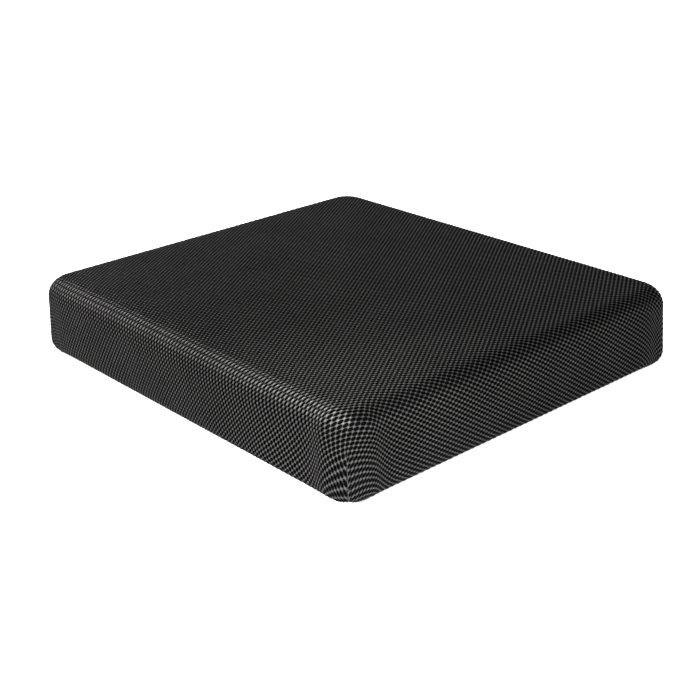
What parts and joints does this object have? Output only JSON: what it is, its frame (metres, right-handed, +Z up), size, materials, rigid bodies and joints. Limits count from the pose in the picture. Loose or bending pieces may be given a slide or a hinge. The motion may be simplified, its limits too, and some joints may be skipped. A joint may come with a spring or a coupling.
{
  "type": "seat cushion",
  "caption": "Rectangular foam seat cushion in a zipped air-mesh cover with darted corners and a non-slip underside.",
  "frame": {"origin": "centre of the underside, on the surface that the cushion lies on", "axes": "+X to the right along the 18 in width, +Y from the front to the zipped rear along the 16 in depth, +Z up"},
  "size_m": [0.4572, 0.4092, 0.0762],
  "materials": {
    "mesh_fabric": "matte",
    "bottom_fabric": "matte",
    "firm_foam": "matte",
    "soft_foam": "matte",
    "thread": "satin",
    "zip_tape": "matte",
    "zip_coil": "satin",
    "zip_metal": "satin",
    "label_cloth": "satin"
  },
  "bodies": {
    "cushion": {"foam_base": "firm_foam", "foam_comfort_layer": "soft_foam", "cover_top_and_sides": "mesh_fabric", "cover_bottom": "bottom_fabric", "bottom_seam": "thread", "corner_seam_front_left": "thread", "corner_seam_front_right": "thread", "corner_seam_rear_left": "thread", "corner_seam_rear_right": "thread", "zipper_tape_upper": "zip_tape", "zipper_tape_lower": "zip_tape", "zipper_coil_upper": "zip_coil", "zipper_coil_lower": "zip_coil", "zipper_stitch_upper": "thread", "zipper_stitch_lower": "thread", "zipper_top_stop_upper": "zip_metal", "zipper_top_stop_lower": "zip_metal", "zipper_bottom_stop": "zip_metal", "zipper_end_tack_left": "thread", "zipper_end_tack_right": "thread", "care_label": "label_cloth"},
    "slider": {"zipper_slider": "zip_metal"},
    "pull": {"zipper_pull": "zip_metal"}
  },
  "joints": [
    {"name": "zip_slide", "type": "slide", "parent": "cushion", "child": "slider", "axis": [1, 0, 0], "range_m": [0, 0.368]},
    {"name": "pull_swing", "type": "hinge", "parent": "slider", "child": "pull", "pos_m": [-0.184, 0.2042, 0.0381], "axis": [0, 0, 1], "range_deg": [0, 175]}
  ]
}
